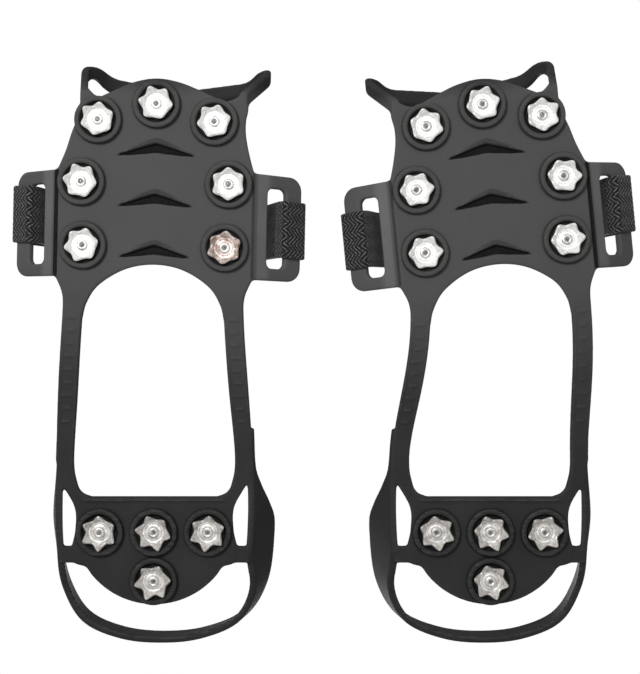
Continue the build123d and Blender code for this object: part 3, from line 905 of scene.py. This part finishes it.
def stud_shape(turn, claws, wear):
    """Points and faces of one stud about its own axis: two skins and their rims."""
    around, rings = CLAWS * STEPS_A_CLAW, STUD_RINGS
    skins = []
    for offset in (-0.5, 0.5):
        for step in range(around):
            angle = step / around * 2 * math.pi
            outline = petal_radius(angle, claws, wear)
            for ring in range(rings + 1):
                radius = HUB_HOLE + (outline - HUB_HOLE) * ring / rings
                height = stud_height(radius, claws[0])
                slope = (stud_height(radius + 0.05, claws[0]) - height) / 0.05
                tilt = 1 / math.hypot(1, slope)
                thin = STUD_SHEET * offset * (1 if ring < rings else RIM_THINNING)
                rho = radius - thin * slope * tilt
                z = max(height + thin * tilt, 0.0)
                skins.append((rho * math.cos(angle + turn), rho * math.sin(angle + turn), z))
    faces = []
    row = rings + 1
    half = around * row
    for step in range(around):
        here, there = step * row, (step + 1) % around * row
        for ring in range(rings):
            corners = [here + ring, there + ring, there + ring + 1, here + ring + 1]
            faces.append(corners)
            faces.append([half + corner for corner in corners[::-1]])
        faces.append([here + rings, there + rings, half + there + rings, half + here + rings])
        faces.append([there, here, half + here, half + there])
    return np.array(skins), faces


def rivet_profile():
    """A tubular rivet: a domed head with a dimple, the shank, and a rolled flare."""
    return [
        (0.02, 6.6), (0.8, 6.5), (0.9, 3.8), (1.15, 3.35), (1.9, 3.3), (2.4, 3.45), (2.66, 3.75),
        (2.7, 4.05), (2.6, 4.12), (1.9, 4.2), (1.9, 9.66), (2.55, 9.72), (2.7, 9.85), (2.6, 10.08),
        (2.2, 10.2), (1.7, 10.12), (1.35, 9.8), (1.2, 9.0), (0.02, 8.9),
    ]


def make_studs(foot, materials, rng):
    for name in stud_names():
        centre = stud_place(foot, name)
        turn = rng.uniform(0, 2 * math.pi / CLAWS)
        wear = rng.uniform(0, CLAW_WEAR, CLAWS)
        kind, claws = "bright", FOREFOOT_CLAWS
        if name.startswith("heel"):
            kind, claws = "worn", HEEL_CLAWS
        shape, faces = stud_shape(turn, claws, wear)
        if foot == "right" and name == "arch_inner":
            kind = "rusty"
        points = shape * MM + np.array((centre.x, centre.y, 0))
        piece = mesh_piece(f"{foot}_star_{name}", points, faces, materials[kind])
        bevel = piece.modifiers.new("edges", "BEVEL")
        bevel.width = STUD_BEVEL * MM
        bevel.segments = 2
        bevel.limit_method = "ANGLE"
        bevel.angle_limit = math.radians(50)
        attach(piece, f"{foot}_cleat")
        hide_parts(f"{foot}_stud_{name}")


def make_rivets(foot, material):
    profile, faces = lathe(rivet_profile())
    parts = []
    for name in stud_names():
        centre = stud_place(foot, name)
        parts.append((profile * MM + np.array((centre.x, centre.y, 0)), faces))
    piece = mesh_piece(f"{foot}_tubular_rivets", *gathered(parts), material)
    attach(piece, f"{foot}_cleat")
    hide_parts(f"{foot}_rivets")


# ---------------------------------------------------------------- straps

HERRINGBONE_ROW = 3.6
HERRINGBONE_PITCH = 2.1
YARN_PHASE = 5.2  # radians a millimetre
WEAVE_HEIGHT = 0.13
PILE_HEIGHT = 0.15
HOOK_HEIGHT = 0.25
SELVEDGE = 0.8


def ear_point(along, above):
    """A point (u, z) in the inner ear's section."""
    cosine, sine = math.cos(EAR_ANGLE), math.sin(EAR_ANGLE)
    return (HINGE_U + along * cosine - above * sine, MIDDLE_Z + along * sine + above * cosine)


def on_arch(radius, angle):
    turn = math.radians(angle)
    return (radius * math.cos(turn), ARCH_CENTRE_Z + radius * math.sin(turn))


def arch_line(radius, start, end):
    return arc((0, ARCH_CENTRE_Z), radius, start, end)


def strap_middle(u):
    """The y of the strap's middle line at u."""
    return STRAP_MIDDLE_Y - STRAP_SLANT * u


def weave_relief(along, across):
    """The herringbone's ridges, 0 to 1."""
    folded = HERRINGBONE_ROW - np.abs(across % (2 * HERRINGBONE_ROW) - HERRINGBONE_ROW)
    return np.abs(np.sin(math.pi * (along + folded) / HERRINGBONE_PITCH)) ** 0.7


def pile_relief(along, across):
    """Soft lumps."""
    wandering = np.sin(along * 2.3 + np.sin(across * 1.7) * 2)
    return 0.5 + 0.25 * wandering + 0.25 * np.sin(across * 3.1 + along * 0.7)


def hook_relief(along, across):
    """Rows of tiny nubs."""
    return np.clip(np.sin(along * 4.2) * np.sin(across * 4.2) * 1.6, 0, 1)


def ribbon(name, foot, line, width, thickness, relief, height, material):
    """Webbing of a width that follows a line (u, z) across the foot, with real relief."""
    line = resampled(line, WEBBING_STEP)
    normal = line_normals(line)
    along = np.concatenate([[0], np.cumsum(np.linalg.norm(np.diff(line, axis=0), axis=1))])
    across = np.linspace(-width / 2, width / 2, int(width / WEBBING_STEP) + 1)
    inward = np.clip((width / 2 - np.abs(across)) / SELVEDGE, 0, 1)
    rounding = 0.25 + 0.75 * np.sqrt(inward * (2 - inward))
    loop = np.concatenate([across, across[::-1]])
    sign = np.concatenate([np.ones(len(across)), -np.ones(len(across))])
    rounding = np.concatenate([rounding, rounding[::-1]])
    relief_here = relief(along[:, None], loop[None, :]) * height - height
    offset = sign * (thickness / 2 * rounding + relief_here * rounding)
    u = line[:, 0:1] + normal[:, 0:1] * offset
    z = line[:, 1:2] + normal[:, 1:2] * offset
    y = strap_middle(line[:, 0:1]) + loop[None, :]
    points = np.stack([u, y, z], axis=2).reshape(-1, 3)
    rows, count = u.shape
    faces = []
    for row in range(rows - 1):
        first = row * count
        for index in range(count):
            after = (index + 1) % count
            beyond = first + count
            faces.append([first + index, first + after, beyond + after, beyond + index])
    faces.append(list(range(count))[::-1])
    faces.append(list(range((rows - 1) * count, rows * count)))
    piece = mesh_piece(name, placed(foot, points), faces, material)
    weave = np.zeros((rows, count, 3), np.float32)
    weave[:, :, 0] = along[:, None]
    weave[:, :, 1] = loop[None, :] + width / 2
    weave[:, :, 2] = sign[None, :] * 5
    attribute = piece.data.attributes.new("weave", "FLOAT_VECTOR", "POINT")
    attribute.data.foreach_set("vector", weave.ravel())
    return piece


def stitch_row(foot, line, across, height):
    """A row of stitches that follows a line (u, z) at one place across the webbing."""
    line = resampled(line, STITCH_STEP)
    normal = line_normals(line)
    run = int(STITCH_LENGTH / STITCH_STEP)
    pitch = run + int(STITCH_GAP / STITCH_STEP)
    parts = []
    for first in range(2, len(line) - run - 1, pitch):
        rings = []
        for part_way in np.linspace(0, 1, 6):
            index = first + int(round(part_way * run))
            sink = (2 * part_way - 1) ** 4
            size = STITCH_RADIUS * (1 - 0.45 * sink)
            centre = line[index] + normal[index] * (height - sink * STITCH_RADIUS * 0.9)
            for turn in np.arange(6) / 6 * 2 * math.pi:
                out = centre + normal[index] * size * math.cos(turn)
                y = strap_middle(out[0]) + across + size * math.sin(turn)
                rings.append((out[0], y, out[1]))
        faces = []
        for ring in range(5):
            for side in range(6):
                after = (side + 1) % 6
                here = ring * 6
                faces.append([here + side, here + after, here + 6 + after, here + 6 + side])
        faces.append(list(range(6))[::-1])
        faces.append(list(range(30, 36)))
        parts.append((placed(foot, rings), faces))
    return parts


def wrap_corners():
    """The strap's way round an ear's outer bar: through the slot, under the bar and up again."""
    return [
        ear_point(WRAP_IN, WRAP_STANDOFF),
        ear_point(WRAP_IN, -WRAP_STANDOFF),
        ear_point(WRAP_OUT, -WRAP_STANDOFF),
        ear_point(WRAP_OUT, WRAP_STANDOFF),
    ]


def make_straps(foot, materials):
    body, end_body = f"{foot}_cleat", f"{foot}_strap_end"
    corners = wrap_corners()
    outer = mirrored(corners)
    slot_middle = tuple((a + b) / 2 for a, b in zip(outer[0], outer[1]))
    arch_start, arch_end = ARCH_ANGLES
    inner_line = filleted([SEWN_END, *corners[::-1], on_arch(ARCH_RADIUS, arch_start)], WRAP_FILLET)
    leg = filleted([on_arch(ARCH_RADIUS, arch_end), outer[0], slot_middle], WRAP_FILLET)
    main_line = np.vstack([inner_line[:-1], arch_line(ARCH_RADIUS, *ARCH_ANGLES), leg[1:]])
    webbing = (STRAP_WIDTH, STRAP_THICKNESS, weave_relief, WEAVE_HEIGHT, materials["webbing"])
    strap = ribbon(f"{foot}_instep_webbing", foot, main_line, *webbing)
    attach(strap, body)
    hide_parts(f"{foot}_strap")
    lower = filleted([slot_middle, outer[1], outer[2], outer[3], TAIL_START], WRAP_FILLET)
    tail_line = np.vstack([lower, arch_line(TAIL_RADIUS, *TAIL_ANGLES)])
    tail = ribbon(f"{foot}_tail_webbing", foot, tail_line, *webbing)
    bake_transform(tail)
    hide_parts(f"{foot}_strap_tail")
    pad = ribbon(
        f"{foot}_loop_pile", foot, arch_line(LOOP_RADIUS, *LOOP_ANGLES), PAD_WIDTH,
        PAD_THICKNESS, pile_relief, PILE_HEIGHT, materials["pile"],
    )
    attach(pad, body)
    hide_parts(f"{foot}_loop_pad")
    hooks = ribbon(
        f"{foot}_hook_tape", foot, arch_line(HOOK_RADIUS, *HOOK_ANGLES), PAD_WIDTH,
        PAD_THICKNESS, hook_relief, HOOK_HEIGHT, materials["hooks"],
    )
    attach(hooks, end_body)
    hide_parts(f"{foot}_hook_pad")
    edge = STRAP_WIDTH / 2 - STITCH_ROW_INSET
    under_pad, under_strap = -PAD_THICKNESS / 2, -STRAP_THICKNESS / 2
    on_loop = arch_line(LOOP_RADIUS, *LOOP_STITCH_ANGLES)
    on_strap = arch_line(ARCH_RADIUS, arch_start, STRAP_STITCH_END)
    on_tail = arch_line(TAIL_RADIUS, *TAIL_STITCH_ANGLES)
    fixed, moving = [], []
    for across in (-edge, edge):
        fixed += stitch_row(foot, on_loop, across, under_pad)
        fixed += stitch_row(foot, on_strap, across, under_strap)
        moving += stitch_row(foot, on_tail, across, under_strap)
    for name, parts, on in (("fixed", fixed, body), ("tail", moving, end_body)):
        piece = mesh_piece(f"{foot}_{name}_stitches", *gathered(parts), materials["thread"])
        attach(piece, on)


# ---------------------------------------------------------------- the pair

rubber = rubber_material()
steels = {
    "bright": steel_material(
        "bright_steel", (0.9, 0.9, 0.88), (0.66, 0.65, 0.64), 0.36, metallic=0.4
    ),
    "worn": steel_material("worn_steel", (0.72, 0.7, 0.67), (0.36, 0.34, 0.32), 0.36),
    "rusty": steel_material(
        "rusty_steel", (0.84, 0.76, 0.72), (0.55, 0.47, 0.43), 0.36, rust=(0.3, 0.21, 0.17),
        metallic=0.5,
    ),
}
rivet_steel = steel_material("rivet_steel", (0.66, 0.65, 0.63), (0.32, 0.31, 0.3), 0.25)
washer_steel = steel_material("washer_steel", (0.62, 0.62, 0.6), (0.34, 0.34, 0.33), 0.35)
strap_materials = {
    "webbing": webbing_material(),
    "pile": pile_material(),
    "hooks": hook_material(),
    "thread": thread_material(),
}

harness_points, harness_faces = harness_surface()
harness_painted_light = rubber_painted_light(harness_points)
rng = np.random.default_rng(7)
for foot in SIDES:
    points = placed(foot, harness_points)
    harness = mesh_piece(f"{foot}_rubber_harness", points, harness_faces, rubber)
    mark_wear_and_hollow_shade(harness.data)
    # The tone attribute carries the painted light and shade of the rubber.
    mark_values(harness.data, "tone", harness_painted_light)
    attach(harness, f"{foot}_cleat")
    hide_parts(f"{foot}_harness")
    make_studs(foot, steels, rng)
    make_rivets(foot, rivet_steel)
    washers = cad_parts[f"{foot}_washers"]
    washers.data.materials.clear()
    washers.data.materials.append(washer_steel)
    make_straps(foot, strap_materials)

# ---------------------------------------------------------------- floor, light and camera


def floor_material():
    """Pale matt paper that is clear from below, where the camera stands."""
    s = Shader("pale_floor")
    tone = s.noise(3.0, detail=2)
    colour = s.mixed(s.ranged(tone, 0.3, 0.7), (0.815, 0.815, 0.805), (0.83, 0.83, 0.82))
    s.finish(colour, s.ranged(tone, 0.3, 0.7, 0.8, 0.9), s.bump(s.noise(900), 0.00005))
    clear = s.node("ShaderNodeBsdfTransparent")
    mix = s.node("ShaderNodeMixShader")
    output = next(n for n in s.tree.nodes if n.type == "OUTPUT_MATERIAL")
    s.link(s.node("ShaderNodeNewGeometry").outputs["Backfacing"], mix.inputs[0])
    s.link(s.principled.outputs[0], mix.inputs[1])
    s.link(clear.outputs[0], mix.inputs[2])
    s.link(mix.outputs[0], output.inputs["Surface"])
    return s.material


def make_floor():
    """A wide sheet just under the claws."""
    reach, z = 40.0, -0.0003
    corners = [(-reach, -reach, z), (reach, -reach, z), (reach, reach, z), (-reach, reach, z)]
    mesh = bpy.data.meshes.new("floor")
    mesh.from_pydata(corners, [], [(0, 1, 2, 3)])
    mesh.materials.append(floor_material())
    floor = bpy.data.objects.new("floor", mesh)
    bpy.context.scene.collection.objects.link(floor)
    for kind in ("diffuse", "glossy", "transmission", "shadow"):
        setattr(floor, f"visible_{kind}", False)


def add_lamp(light, place):
    """Puts a light at a place, shining at the origin."""
    lamp = bpy.data.objects.new(light.name, light)
    lamp.location = place
    lamp.rotation_euler = (-Vector(place)).to_track_quat("-Z", "Y").to_euler()
    bpy.context.scene.collection.objects.link(lamp)


def area_light(name, place, size, power):
    light = bpy.data.lights.new(name, "AREA")
    light.shape = "DISK"
    light.size = size
    light.energy = power
    add_lamp(light, place)


def soft_sun(name, place, strength):
    light = bpy.data.lights.new(name, "SUN")
    light.energy = strength
    light.angle = math.radians(40)
    add_lamp(light, place)


WORLD_LIGHT = 0.45


def make_world():
    """A white backdrop that lights the pair more softly than it looks."""
    world = bpy.data.worlds.new("studio")
    world.use_nodes = True
    nodes, links = world.node_tree.nodes, world.node_tree.links
    background = nodes["Background"]
    background.inputs["Color"].default_value = (1, 1, 1, 1)
    strength = nodes.new("ShaderNodeMapRange")
    strength.inputs["To Min"].default_value = WORLD_LIGHT
    strength.inputs["To Max"].default_value = 1.0
    links.new(nodes.new("ShaderNodeLightPath").outputs["Is Camera Ray"], strength.inputs["Value"])
    links.new(strength.outputs["Result"], background.inputs["Strength"])
    bpy.context.scene.world = world


def make_camera():
    """Straight below the pair, looking up at the soles."""
    distance = 0.55
    view_height = 0.3248
    camera = bpy.data.cameras.new("camera")
    camera.sensor_width = 36
    camera.lens = camera.sensor_width * distance / view_height
    camera.clip_start = 0.01
    holder = bpy.data.objects.new("camera", camera)
    right_x, right_y = heel_place("right")
    aim_x = (right_x + heel_place("left")[0]) / 2 + 1.0
    holder.location = (aim_x * MM, right_y * MM, SOLE_Z * MM - distance)
    holder.rotation_euler = (0, math.pi, 0)
    bpy.context.scene.collection.objects.link(holder)
    bpy.context.scene.camera = holder


make_floor()
make_world()
area_light("key_below", (0.34, 0.36, -0.8), 0.25, 6.0)
area_light("fill_below", (-0.1, 0.2, -0.9), 0.6, 2.0)
soft_sun("sun_above", (0.2, -0.5, 1.3), 2.0)
make_camera()
bpy.context.scene.view_settings.view_transform = "Standard"
